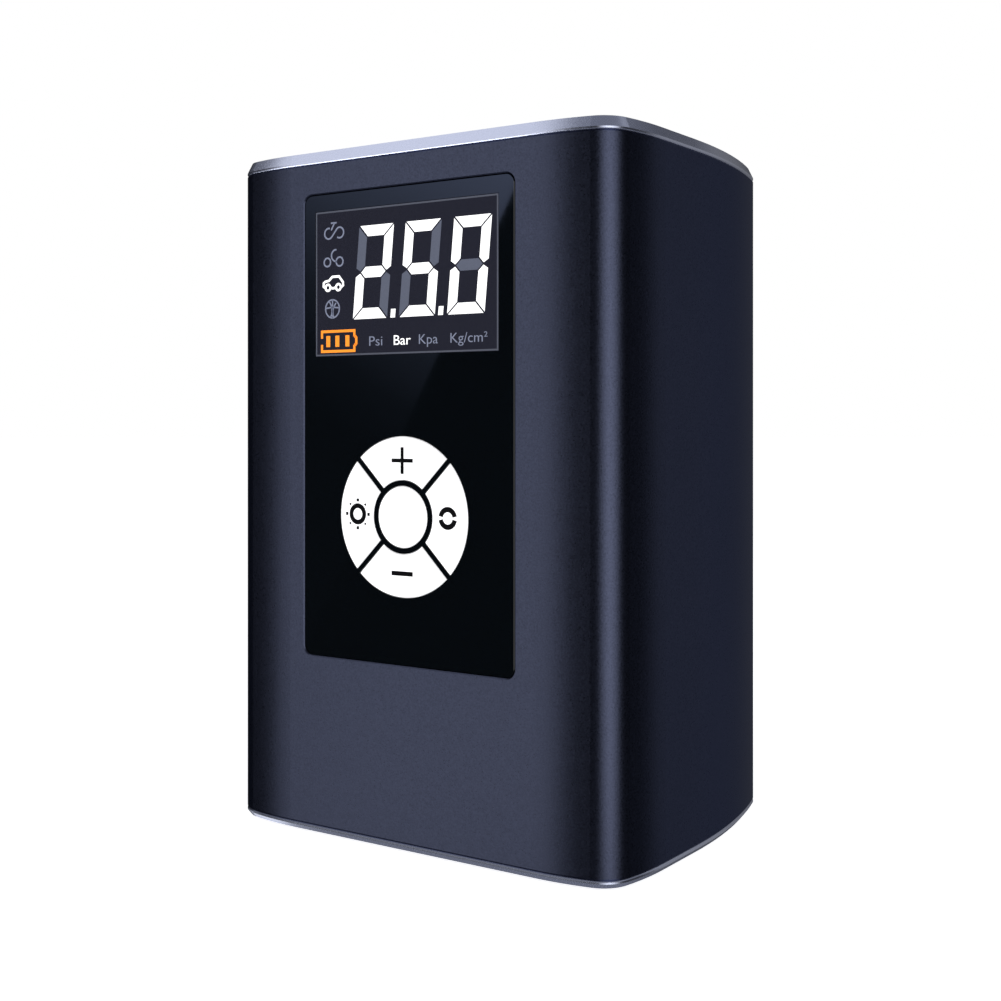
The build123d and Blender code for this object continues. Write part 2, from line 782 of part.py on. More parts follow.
def make_crank():
    """Crank shaft, eccentric pin and the two bushes."""
    save(rod_x(boss_back, 11.0, crank_shaft_radius, pump_y, crank_z), "crank_shaft")
    save(rod_x(7.0, 18.2, crank_pin_radius, pump_y, yoke_z), "crank_pin")
    hole = crank_shaft_radius + running_gap
    with BuildPart() as crank_bushes:
        add(tube_x(boss_back, boss_back + 3.5, crank_bush_radius, hole, pump_y, crank_z))
        add(tube_x(0.5, 4.0, crank_bush_radius, hole, pump_y, crank_z))
    save(crank_bushes.part, "crank_bushes")


def make_yoke():
    """Slide block, slotted yoke with its piston rod, and the roller that guides it."""
    with BuildPart() as yoke_block:
        with BuildSketch(across(yoke_back + 0.2)):
            with Locations((pump_y, yoke_z)):
                Rectangle(2 * block_half_width, 2 * (slot_half_height - running_gap))
                Circle(crank_pin_radius + running_gap, mode=Mode.SUBTRACT)
        extrude(amount=6.2)
    save(yoke_block.part, "yoke_block")
    slot_half_length = crank_radius + block_half_width + 0.3
    with BuildPart() as yoke:
        with BuildSketch(across(yoke_back)):
            with Locations((pump_y, yoke_z)):
                RectangleRounded(2 * slot_half_length + 5.0, 11.0, 2.0)
        extrude(amount=yoke_front - yoke_back)
        with BuildSketch(across(yoke_back)):
            with Locations((pump_y, yoke_z)):
                Rectangle(2 * slot_half_length, 2 * slot_half_height)
        extrude(amount=6.8, mode=Mode.SUBTRACT)
        with Locations((cylinder_x, pump_y, yoke_z + 5.0)):
            Cylinder(3.0, piston_bottom - yoke_z - 5.0, align=base_align)
        with BuildSketch(across(yoke_front)):
            with Locations((pump_y, yoke_z)):
                Circle(1.2)
        extrude(amount=3.0)
    save(yoke.part, "yoke")
    save(tube_x(20.4, 22.6, roller_radius, 1.2 + running_gap, pump_y, yoke_z), "guide_roller")


piston_height = 7.0
piston_bottom = case_top + 0.5 + stroke
piston_top = piston_bottom + piston_height
head_bottom = piston_top + 0.7


def make_piston():
    """Piston at top dead centre and its seal ring."""
    with BuildPart() as piston:
        with Locations((cylinder_x, pump_y, piston_bottom)):
            Cylinder(bore_radius - 0.25, piston_height, align=base_align)
        with BuildSketch(level(piston_bottom + 4.0)):
            with Locations((cylinder_x, pump_y)):
                Circle(bore_radius)
                Circle(bore_radius - 1.25, mode=Mode.SUBTRACT)
        extrude(amount=1.5, mode=Mode.SUBTRACT)
    save(piston.part, "piston")
    with BuildPart() as piston_seal:
        with BuildSketch(level(piston_bottom + 4.0)):
            with Locations((cylinder_x, pump_y)):
                Circle(bore_radius - running_gap)
                Circle(bore_radius - 1.25, mode=Mode.SUBTRACT)
        extrude(amount=1.5)
    save(piston_seal.part, "piston_seal")


def make_cylinder():
    """Finned cylinder and its head with the valve chamber."""
    with BuildPart() as cylinder:
        with BuildSketch(level(case_top)):
            with Locations((cylinder_x, pump_y)):
                Circle(bore_radius + 1.4)
        extrude(amount=head_bottom - case_top)
        fin_pitch = (head_bottom - case_top - 1.2) / 6
        for step in range(7):
            with BuildSketch(level(case_top + step * fin_pitch)):
                with Locations((cylinder_x, pump_y)):
                    Circle(10.0)
            extrude(amount=1.2)
        with BuildSketch(level(case_top)):
            with Locations((cylinder_x, pump_y)):
                Circle(bore_radius)
        extrude(amount=head_bottom - case_top, mode=Mode.SUBTRACT)
    save(cylinder.part, "cylinder")
    with BuildPart() as cylinder_head:
        with BuildSketch(level(head_bottom)):
            with Locations((cylinder_x, pump_y)):
                Circle(9.6)
        extrude(amount=5.0)
        with BuildSketch(level(valve_seat)):
            with Locations((cylinder_x, pump_y)):
                Circle(valve_radius + 0.4)
        extrude(amount=6.0, mode=Mode.SUBTRACT)
        with BuildSketch(level(head_bottom)):
            with Locations((cylinder_x, pump_y)):
                Circle(1.4)
        extrude(amount=3.0, mode=Mode.SUBTRACT)
    save(cylinder_head.part, "cylinder_head")


valve_radius = 2.6
valve_seat = head_bottom + 1.5
valve_thickness = 0.9
spring_top = head_bottom + 6.2


def make_valve():
    """Spring-loaded outlet valve and the fitting that closes its chamber."""
    with BuildPart() as outlet_valve:
        with Locations((cylinder_x, pump_y, valve_seat)):
            Cylinder(valve_radius, valve_thickness, align=base_align)
    save(outlet_valve.part, "outlet_valve")
    spring_bottom = valve_seat + valve_thickness
    wire = 0.18
    with BuildPart() as valve_spring:
        with BuildLine():
            coil_start = (cylinder_x, pump_y, spring_bottom + wire)
            coil = Helix(0.8, spring_top - spring_bottom - 2 * wire, 1.7, center=coil_start)
        with BuildSketch(Plane(coil @ 0, z_dir=coil % 0)):
            Circle(wire)
        sweep(path=coil)
    save(valve_spring.part, "valve_spring")
    with BuildPart() as head_fitting:
        with BuildSketch(level(head_bottom + 5.0)):
            with Locations((cylinder_x, pump_y)):
                RegularPolygon(6.0, 6, major_radius=False)
        extrude(amount=4.0)
        with BuildSketch(level(head_bottom + 9.0)):
            with Locations((cylinder_x, pump_y)):
                Circle(1.9)
        extrude(amount=7.0)
        with BuildSketch(level(head_bottom + 5.0)):
            with Locations((cylinder_x, pump_y)):
                Circle(valve_radius + 0.4)
        extrude(amount=spring_top - head_bottom - 5.0, mode=Mode.SUBTRACT)
        with BuildSketch(level(head_bottom + 5.0)):
            with Locations((cylinder_x, pump_y)):
                Circle(1.1)
        extrude(amount=12.0, mode=Mode.SUBTRACT)
    save(head_fitting.part, "head_fitting")


def make_hose():
    """Short hose from the head fitting to the outlet."""
    start = (cylinder_x, pump_y, head_bottom + 9.4)
    start_bend = (cylinder_x, pump_y, head_bottom + 16.5)
    end_bend = (outlet_x, outlet_y, height - 22.2)
    end = (outlet_x, outlet_y, height - 15.4)
    with BuildPart() as pressure_hose:
        with BuildLine() as path:
            Line(start, start_bend)
            Spline(start_bend, end_bend, tangents=((0, 0, 1), (0, 0, 1)))
            Line(end_bend, end)
        with BuildSketch(Plane(start, z_dir=(0, 0, 1))):
            Circle(3.1)
            Circle(1.9, mode=Mode.SUBTRACT)
        sweep(path=path.line)
    save(pressure_hose.part, "pressure_hose")


def make_crankcase():
    """Cast crankcase cup and its cover with the yoke's guide rails."""
    case_z = (case_bottom + case_top) / 2
    case_height = case_top - case_bottom
    with BuildPart() as crankcase:
        with BuildSketch(across(0)):
            with Locations((pump_y, case_z)):
                RectangleRounded(2 * case_half_width, case_height, 4.0)
        extrude(amount=case_depth)
        with BuildSketch(across(4.0)):
            with Locations((pump_y, case_z)):
                RectangleRounded(2 * case_half_width - 4, case_height - 4, 2.0)
        extrude(amount=case_depth, mode=Mode.SUBTRACT)
        for y in (pump_y - case_half_width + 3.5, pump_y + case_half_width - 3.5):
            with Locations((4.0, y, case_bottom + 3.5), (4.0, y, case_top - 3.5)):
                Cylinder(3.0, case_depth - 4.0, rotation=(0, 90, 0), align=base_align)
        with BuildSketch(across(boss_back)):
            with Locations((pump_y, crank_z)):
                Circle(4.2)
        extrude(amount=-boss_back)
        with BuildSketch(across(boss_back)):
            with Locations((pump_y, crank_z)):
                Circle(crank_bush_radius)
        extrude(amount=4.0 - boss_back, mode=Mode.SUBTRACT)
        with BuildSketch(across(0)):
            with Locations((pump_y, motor_z)):
                Circle(5.0)
        extrude(amount=4.0, mode=Mode.SUBTRACT)
        with BuildSketch(level(case_top - 3.0)):
            with Locations((cylinder_x, pump_y)):
                Circle(bore_radius)
        extrude(amount=4.0, mode=Mode.SUBTRACT)
        with BuildSketch(across(case_depth - 8.0)):
            with Locations(*case_screw_places()):
                Circle(1.1)
        extrude(amount=8.0, mode=Mode.SUBTRACT)
    save(crankcase.part, "crankcase")
    rail_bottom = yoke_z - stroke - roller_radius - 1.0
    rail_height = stroke + 2 * roller_radius + 2.0
    with BuildPart() as crankcase_cover:
        with BuildSketch(across(case_depth)):
            with Locations((pump_y, case_z)):
                RectangleRounded(2 * case_half_width, case_height, 4.0)
        extrude(amount=2.0)
        with BuildSketch(across(yoke_front + 0.2)):
            for side in (-1, 1):
                with Locations((pump_y + side * (roller_radius + running_gap + 1.0), rail_bottom)):
                    Rectangle(2.0, rail_height, align=(Align.CENTER, Align.MIN))
        extrude(amount=case_depth - yoke_front - 0.2)
        with BuildSketch(across(case_depth)):
            with Locations(*case_screw_places()):
                Circle(1.3)
        extrude(amount=2.0, mode=Mode.SUBTRACT)
    save(crankcase_cover.part, "crankcase_cover")
    with BuildPart() as crankcase_screws:
        with BuildSketch(across(case_depth + 2.0)):
            with Locations(*case_screw_places()):
                Circle(2.2)
        extrude(amount=1.4)
        with BuildSketch(across(case_depth - 6.0)):
            with Locations(*case_screw_places()):
                Circle(1.05)
        extrude(amount=8.0)
        with BuildSketch(across(case_depth + 2.8)):
            with Locations(*case_screw_places()):
                RegularPolygon(1.1, 6)
        extrude(amount=1.0, mode=Mode.SUBTRACT)
    save(crankcase_screws.part, "crankcase_screws")


def case_screw_places():
    """Cover screw centres, as Y and Z."""
    reach = case_half_width - 3.5
    return [(pump_y + side * reach, z) for side in (-1, 1) for z in (case_bottom + 3.5, case_top - 3.5)]


def make_motor_saddle():
    """Rubber saddle between the motor and the base."""
    saddle_bottom = sleeve_bottom + plug_height
    with BuildPart() as motor_saddle:
        with BuildSketch(across(-24.0)):
            with Locations((pump_y, saddle_bottom)):
                Rectangle(20, 8, align=(Align.CENTER, Align.MIN))
            with Locations((pump_y, motor_z)):
                Circle(motor_radius, mode=Mode.SUBTRACT)
        extrude(amount=14.0)
    save(motor_saddle.part, "motor_saddle")


make_sleeve()
make_top_cap()
make_top_plate()
make_bottom_cap()
make_feet()
make_cap_screws()
make_front_panel()
make_keys()
make_keypad_stack()
make_display()
make_lamp()
make_usb_socket()
make_outlet()
make_battery()
make_main_pcb()
make_motor_frame()
make_rotor()
make_gears()
make_crank()
make_yoke()
make_piston()
make_cylinder()
make_valve()
make_hose()
make_crankcase()
make_motor_saddle()
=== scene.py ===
"""Looks of the cordless tyre inflator: materials, display graphics, key symbols, studio and camera."""

import json
import math

import bmesh
import bpy
from mathutils import Matrix, Vector


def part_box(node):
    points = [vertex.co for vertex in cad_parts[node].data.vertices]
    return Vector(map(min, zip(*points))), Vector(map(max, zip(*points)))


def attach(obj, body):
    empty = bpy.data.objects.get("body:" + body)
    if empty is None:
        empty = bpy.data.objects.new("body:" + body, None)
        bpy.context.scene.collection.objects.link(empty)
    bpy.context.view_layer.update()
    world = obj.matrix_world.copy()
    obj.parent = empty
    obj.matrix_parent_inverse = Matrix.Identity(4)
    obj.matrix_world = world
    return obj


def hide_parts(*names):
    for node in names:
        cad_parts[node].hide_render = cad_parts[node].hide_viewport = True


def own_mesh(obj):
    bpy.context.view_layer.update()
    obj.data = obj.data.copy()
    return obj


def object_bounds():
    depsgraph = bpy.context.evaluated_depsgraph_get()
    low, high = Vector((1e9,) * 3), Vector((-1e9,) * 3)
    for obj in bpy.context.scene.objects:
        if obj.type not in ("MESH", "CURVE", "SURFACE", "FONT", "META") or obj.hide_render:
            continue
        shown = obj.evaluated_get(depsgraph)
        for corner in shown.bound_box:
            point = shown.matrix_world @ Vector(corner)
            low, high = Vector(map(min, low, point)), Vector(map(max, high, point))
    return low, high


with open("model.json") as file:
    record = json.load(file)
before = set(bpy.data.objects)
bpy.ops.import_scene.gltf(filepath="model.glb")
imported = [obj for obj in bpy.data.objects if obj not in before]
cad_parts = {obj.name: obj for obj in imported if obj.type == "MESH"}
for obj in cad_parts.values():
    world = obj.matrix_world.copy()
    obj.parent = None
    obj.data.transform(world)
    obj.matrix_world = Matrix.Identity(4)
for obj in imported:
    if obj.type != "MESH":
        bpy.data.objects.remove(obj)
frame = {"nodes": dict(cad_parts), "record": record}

MM = 0.001
CAD_LOW, CAD_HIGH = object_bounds()
NODES = frame["nodes"]


# ---------------------------------------------------------------- materials


def node(tree, kind, **inputs):
    """Adds a shader node and sets its named inputs."""
    made = tree.nodes.new(kind)
    for key, value in inputs.items():
        made.inputs[key.replace("_", " ")].default_value = value
    return made


def noise(tree, coordinate, size, detail=2.0, stretch=(1, 1, 1)):
    """Noise whose features are about size metres across, stretched along an axis if asked."""
    mapping = node(tree, "ShaderNodeMapping")
    mapping.inputs["Scale"].default_value = [1 / (size * s) for s in stretch]
    texture = node(tree, "ShaderNodeTexNoise", Scale=1.0, Detail=detail, Roughness=0.55)
    tree.links.new(coordinate, mapping.inputs["Vector"])
    tree.links.new(mapping.outputs["Vector"], texture.inputs["Vector"])
    return texture.outputs["Fac"]


def ramp(tree, value, low, high, at=(0.3, 0.7)):
    """Maps a 0 to 1 value from low to high between two places."""
    mapped = node(tree, "ShaderNodeMapRange")
    for name, number in zip(("From Min", "From Max", "To Min", "To Max"), (*at, low, high)):
        mapped.inputs[name].default_value = number
    tree.links.new(value, mapped.inputs["Value"])
    return mapped.outputs["Result"]


def surface(
    name,
    color,
    metallic=0.0,
    rough=0.5,
    grain=0.3,
    bump=0.05,
    vary=0.12,
    rough_vary=0.06,
    cloud=0.03,
    stretch=(1, 1, 1),
    specular=0.5,
    edge=None,
    coat=0.0,
    glow=0.0,
    glow_color=None,
    patch=9.0,
):
    """Procedural finish.

    grain and patch are feature sizes in mm, and bump is the grain's height in mm. cloud is how much the
    colour and roughness drift from patch to patch. edge is a metal's tint where it is seen edge-on.
    """
    made = bpy.data.materials.new(name)
    made.use_nodes = True
    tree = made.node_tree
    shader = tree.nodes["Principled BSDF"]
    coordinate = node(tree, "ShaderNodeTexCoord").outputs["Object"]
    fine = noise(tree, coordinate, grain * MM, stretch=stretch)
    broad = noise(tree, coordinate, patch * MM, detail=4.0)
    blend = node(tree, "ShaderNodeMath")
    blend.operation = "ADD"
    tree.links.new(ramp(tree, fine, -vary, vary), blend.inputs[0])
    tree.links.new(ramp(tree, broad, -cloud, cloud), blend.inputs[1])
    tint = node(tree, "ShaderNodeMix")
    tint.data_type = "RGBA"
    tint.blend_type = "MULTIPLY"
    tint.inputs["Factor"].default_value = 1.0
    tint.inputs["A"].default_value = (*color, 1.0)
    scale = node(tree, "ShaderNodeMath")
    scale.operation = "ADD"
    scale.inputs[1].default_value = 1.0
    tree.links.new(blend.outputs[0], scale.inputs[0])
    shade = node(tree, "ShaderNodeCombineColor")
    for channel in ("Red", "Green", "Blue"):
        tree.links.new(scale.outputs[0], shade.inputs[channel])
    tree.links.new(shade.outputs[0], tint.inputs["B"])
    tree.links.new(tint.outputs["Result"], shader.inputs["Base Color"])
    mixed = node(tree, "ShaderNodeMath")
    mixed.operation = "ADD"
    tree.links.new(ramp(tree, fine, rough - rough_vary / 2, rough + rough_vary / 2), mixed.inputs[0])
    tree.links.new(ramp(tree, broad, -cloud / 2, cloud / 2), mixed.inputs[1])
    tree.links.new(mixed.outputs[0], shader.inputs["Roughness"])
    if bump:
        height = node(tree, "ShaderNodeBump", Strength=1.0, Distance=bump * MM)
        tree.links.new(fine, height.inputs["Height"])
        tree.links.new(height.outputs["Normal"], shader.inputs["Normal"])
    shader.inputs["Metallic"].default_value = metallic
    shader.inputs["Specular IOR Level"].default_value = specular
    shader.inputs["Coat Weight"].default_value = coat
    if edge:
        shader.inputs["Specular Tint"].default_value = (*edge, 1.0)
    if glow:
        shader.inputs["Emission Color"].default_value = (*(glow_color or color), 1.0)
        shader.inputs["Emission Strength"].default_value = glow
    return made


FINISHES = {
    "sleeve_anodised": dict(
        color=(0.055, 0.0625, 0.100),
        metallic=1.0,
        rough=0.30,
        grain=0.30,
        bump=0.014,
        vary=0.22,
        cloud=0.012,
        edge=(0.48, 0.50, 0.60),
    ),
    "rim_metal": dict(
        color=(0.545, 0.58, 0.73),
        metallic=1.0,
        rough=0.25,
        grain=0.2,
        bump=0.002,
        vary=0.03,
        cloud=0.01,
    ),
    "cover_black": dict(color=(0.012, 0.012, 0.014), rough=0.5, grain=0.35, bump=0.02, vary=0.25),
    "panel_gloss": dict(
        color=(0.0008, 0.0018, 0.0028),
        rough=0.03,
        grain=0.8,
        bump=0.0,
        vary=0.1,
        rough_vary=0.01,
        cloud=0.005,
    ),
    "display_window": dict(
        color=(0.0135, 0.0140, 0.022),
        rough=0.16,
        grain=0.6,
        bump=0.0,
        vary=0.06,
        cloud=0.02,
        glow=0.55,
    ),
    "key_white": dict(
        color=(0.90, 0.90, 0.905),
        rough=0.38,
        grain=0.3,
        bump=0.004,
        vary=0.015,
        cloud=0.01,
        # glow is painted light: emission that lifts the white keys to full brightness beyond what the lamps
        # give them
        glow=0.5,
    ),
    "rubber_black": dict(color=(0.016, 0.016, 0.017), rough=0.72, grain=0.4, bump=0.03, vary=0.25),
    "silicone_grey": dict(color=(0.30, 0.31, 0.33), rough=0.6, grain=0.4, bump=0.01),
    "fastener_steel": dict(
        color=(0.20, 0.20, 0.21),
        metallic=1.0,
        rough=0.34,
        grain=0.2,
        bump=0.006,
        stretch=(1, 8, 1),
    ),
    "inner_plastic": dict(color=(0.020, 0.020, 0.022), rough=0.5, grain=0.4, bump=0.02, vary=0.2),
    "circuit_board": dict(color=(0.012, 0.085, 0.035), rough=0.4, grain=0.5, bump=0.01, vary=0.25),
    "lens_clear": dict(
        color=(0.78, 0.80, 0.78),
        rough=0.28,
        grain=0.5,
        bump=0.006,
        vary=0.04,
        coat=0.6,
    ),
    "reflector_chrome": dict(
        color=(0.80, 0.80, 0.81),
        metallic=1.0,
        rough=0.08,
        grain=0.5,
        bump=0.0,
        vary=0.03,
    ),
    "nickel_shell": dict(
        color=(0.52, 0.51, 0.49),
        metallic=1.0,
        rough=0.24,
        grain=0.2,
        bump=0.003,
        stretch=(1, 1, 9),
    ),
    "brass": dict(
        color=(0.72, 0.51, 0.22),
        metallic=1.0,
        rough=0.22,
        grain=0.12,
        bump=0.004,
        stretch=(9, 9, 1),
    ),
    "bronze": dict(
        color=(0.50, 0.31, 0.15),
        metallic=1.0,
        rough=0.42,
        grain=0.25,
        bump=0.012,
        vary=0.2,
    ),
    "cell_sleeve": dict(
        color=(0.03, 0.20, 0.13),
        rough=0.3,
        grain=0.8,
        bump=0.004,
        vary=0.08,
        coat=0.3,
    ),
    "motor_steel": dict(
        color=(0.42, 0.42, 0.43),
        metallic=1.0,
        rough=0.30,
        grain=0.15,
        bump=0.005,
        stretch=(10, 1, 1),
    ),
    "ferrite": dict(color=(0.035, 0.035, 0.038), rough=0.62, grain=0.3, bump=0.02, vary=0.2),
    "copper": dict(
        color=(0.62, 0.26, 0.12),
        metallic=1.0,
        rough=0.30,
        grain=0.35,
        bump=0.04,
        stretch=(12, 1, 1),
    ),
    "nylon": dict(color=(0.70, 0.68, 0.60), rough=0.45, grain=0.5, bump=0.01, vary=0.06),
    "die_cast": dict(
        color=(0.46, 0.47, 0.48),
        metallic=1.0,
        rough=0.46,
        grain=0.3,
        bump=0.02,
        vary=0.12,
    ),
    "spring_steel": dict(
        color=(0.50, 0.50, 0.51),
        metallic=1.0,
        rough=0.25,
        grain=0.1,
        bump=0.004,
        stretch=(1, 1, 6),
    ),
}
PRINTS = {
    "lit_white": dict(
        color=(0.7, 0.7, 0.7),
        rough=0.4,
        bump=0.0,
        vary=0.03,
        glow=0.8,
        glow_color=(1, 1, 1),
    ),
    "dim_segment": dict(color=(0.072, 0.083, 0.125), rough=0.35, bump=0.0, vary=0.08, glow=0.25),
    "dim_symbol": dict(color=(0.17, 0.19, 0.27), rough=0.35, bump=0.0, vary=0.05, glow=0.3),
    "frame_line": dict(color=(0.055, 0.062, 0.090), rough=0.35, bump=0.0, vary=0.05, glow=0.2),
    "amber": dict(color=(0.80, 0.235, 0.016), rough=0.4, bump=0.0, vary=0.04, specular=0.2, glow=0.68),
    "key_ink": dict(color=(0.004, 0.004, 0.005), rough=0.6, bump=0.0, vary=0.1, specular=0.05),
}


def dress_nodes():
    """Gives every CAD node the finish of its record slot."""
    made = {slot: surface(slot, **look) for slot, look in FINISHES.items()}
    for part in frame["record"]["subparts"]:
        shell = NODES[part["node"]]
        for slot in shell.material_slots:
            slot.material = made[part["material_slot"]]
        if not shell.material_slots:
            shell.data.materials.append(made[part["material_slot"]])
    return made


# ---------------------------------------------------------------- flat shapes

WELD = 0.002 * MM
SHARPEST_MITRE = 0.5


def link_new(name, data):
    """Adds an object with this mesh, curve, light or camera to the scene."""
    made = bpy.data.objects.new(name, data)
    bpy.context.scene.collection.objects.link(made)
    return made


def finish_piece(mesh_object, material, body):
    """Puts a new piece on its body with its material."""
    mesh_object.data.materials.clear()
    mesh_object.data.materials.append(material)
    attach(mesh_object, body)
    return mesh_object


def slabs(name, outlines, y_back, thickness):
    """Mesh object of thin raised polygons that face -Y. Outlines are lists of (x, z) in metres."""
    mesh = bpy.data.meshes.new(name)
    build = bmesh.new()
    for outline in outlines:
        back = [build.verts.new((x, y_back, z)) for x, z in outline]
        face = build.faces.new(back)
        raised = bmesh.ops.extrude_face_region(build, geom=[face])
        moved = [v for v in raised["geom"] if isinstance(v, bmesh.types.BMVert)]
        bmesh.ops.translate(build, verts=moved, vec=(0, -thickness, 0))
    bmesh.ops.recalc_face_normals(build, faces=build.faces)
    build.to_mesh(mesh)
    build.free()
    return link_new(name, mesh)


def arc(cx, cz, radius, start, end, steps=28):
    """Points on an arc, angles in degrees from +X towards +Z."""
    turns = [math.radians(start + (end - start) * i / steps) for i in range(steps + 1)]
    return [(cx + radius * math.cos(t), cz + radius * math.sin(t)) for t in turns]


def stroke(points, width, closed=False):
    """Quads of a constant-width line through points, with mitred joins."""
    count = len(points)
    sides = []
    for i, (x, z) in enumerate(points):
        before = points[(i - 1) % count] if closed or i else points[i]
        after = points[(i + 1) % count] if closed or i < count - 1 else points[i]
        first = Vector((x - before[0], z - before[1]))
        second = Vector((after[0] - x, after[1] - z))
        first = first.normalized() if first.length else second.normalized()
        second = second.normalized() if second.length else first
        along = (first + second).normalized()
        normal = Vector((-along.y, along.x))
        reach = width / 2 / max(SHARPEST_MITRE, normal.dot(Vector((-first.y, first.x))))
        left = (x + normal.x * reach, z + normal.y * reach)
        right = (x - normal.x * reach, z - normal.y * reach)
        sides.append((left, right))
    pairs = list(zip(sides, sides[1:]))
    if closed:
        pairs.append((sides[-1], sides[0]))
    return [[here[0], there[0], there[1], here[1]] for here, there in pairs]


def line_art(name, lines, width, y_back, thickness):
    """Thin raised strokes, welded into one clean mesh. lines is a list of (points, closed)."""
    outlines = [quad for points, closed in lines for quad in stroke(points, width, closed)]
    mesh = bpy.data.meshes.new(name)
    build = bmesh.new()
    for quad in outlines:
        build.faces.new([build.verts.new((x, y_back, z)) for x, z in quad])
    bmesh.ops.remove_doubles(build, verts=build.verts, dist=WELD)
    raised = bmesh.ops.extrude_face_region(build, geom=list(build.faces))
    moved = [v for v in raised["geom"] if isinstance(v, bmesh.types.BMVert)]
    bmesh.ops.translate(build, verts=moved, vec=(0, -thickness, 0))
    bmesh.ops.recalc_face_normals(build, faces=build.faces)
    build.to_mesh(mesh)
    build.free()
    return link_new(name, mesh)


def shifted(points, cx, cz):
    """Millimetre points moved to a centre in metres."""
    return [(cx + x * MM, cz + z * MM) for x, z in points]


# ---------------------------------------------------------------- display

GLASS_LOW, GLASS_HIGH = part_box("display_glass")
PRINT_SHIFT = 0.3 * MM
GLASS_X = (GLASS_LOW.x + GLASS_HIGH.x) / 2 + PRINT_SHIFT
GLASS_Z = (GLASS_LOW.z + GLASS_HIGH.z) / 2
PRINT_Y = GLASS_LOW.y
PRINT_HEIGHT = 0.03 * MM

# Digit sizes and places, in mm, measured from the display's middle.
DIGIT_WIDTH = 7.75
DIGIT_HEIGHT = 16.45
DIGIT_PITCH = 10.38
DIGIT_LEFT = -11.6
DIGIT_BOTTOM = -6.65
BAR_WIDTH = 1.9
SEGMENT_GAP = 0.2
SLANT = 0.093
POINT_GAP = 0.75
POINT_WIDTH = 1.0
POINT_HEIGHT = 1.5
SHOULDER = 0.6
LIT = {"2": "abged", "5": "afgcd", "0": "abcdef"}


def segment_outlines():
    """The seven bars of an upright digit with its lower left corner at the origin, in mm."""
    w, h, t, e = DIGIT_WIDTH, DIGIT_HEIGHT, BAR_WIDTH, SEGMENT_GAP
    m, r = h / 2, t / 2
    top = [(e, h), (w - e, h), (w - t - e, h - t), (t + e, h - t)]
    upper = [(0, h - e), (t, h - t - e), (t, m + r + e), (r, m + e), (0, m + r * SHOULDER + e)]
    middle = [(r + e, m), (t + e, m + r), (w - t - e, m + r)]
    middle += [(w - r - e, m), (w - t - e, m - r), (t + e, m - r)]
    return {
        "a": top,
        "d": [(x, h - z) for x, z in top],
        "g": middle,
        "f": upper,
        "b": [(w - x, z) for x, z in upper],
        "e": [(x, h - z) for x, z in upper],
        "c": [(w - x, h - z) for x, z in upper],
    }


def slanted(points, left):
    """A digit's points leaned over and placed on the display, in metres."""
    placed = [(left + x + z * SLANT, DIGIT_BOTTOM + z) for x, z in points]
    return shifted(placed, GLASS_X, GLASS_Z)


def make_digits(inks):
    """Three seven-segment digits and two decimal points."""
    lit, dim = [], []
    bars = segment_outlines()
    for index, digit in enumerate("250"):
        left = DIGIT_LEFT + index * DIGIT_PITCH
        for bar, outline in bars.items():
            (lit if bar in LIT[digit] else dim).append(slanted(outline, left))
        if index < 2:
            near = DIGIT_WIDTH + POINT_GAP
            far = near + POINT_WIDTH
            lit.append(slanted([(near, 0), (far, 0), (far, POINT_HEIGHT), (near, POINT_HEIGHT)], left))
    for name, outlines, ink in (("digits_lit", lit, "lit_white"), ("digits_dim", dim, "dim_segment")):
        digits = slabs(name, outlines, PRINT_Y, PRINT_HEIGHT)
        finish_piece(digits, inks[ink], "housing")


# Line widths, sizes and places of the printed symbols, in mm, measured from the display's middle.
SYMBOL_LINE = 0.29
CAR_LINE = 0.42
BALL_LINE = 0.26
BATTERY_LINE = 0.48
BATTERY_CENTER = (-15.07, -10.4)
BATTERY_HALF_WIDTH = 3.79
BATTERY_HALF_HEIGHT = 1.79
BATTERY_BAR_CENTERS = (-2.31, -0.17, 2.18)
BATTERY_BAR_HALF_WIDTH = 0.45
BATTERY_BAR_HALF_HEIGHT = 1.0
BORDER_LINE = 0.28
BORDER_INSET = 0.2


def symbol(name, lines, width, center, ink):
    """A line symbol on the display. Lines are in mm about the symbol's centre, which is in mm too."""
    cx, cz = GLASS_X + center[0] * MM, GLASS_Z + center[1] * MM
    placed = [(shifted(points, cx, cz), closed) for points, closed in lines]
    made = line_art(name, placed, width * MM, PRINT_Y, PRINT_HEIGHT)
    return finish_piece(made, ink, "housing")


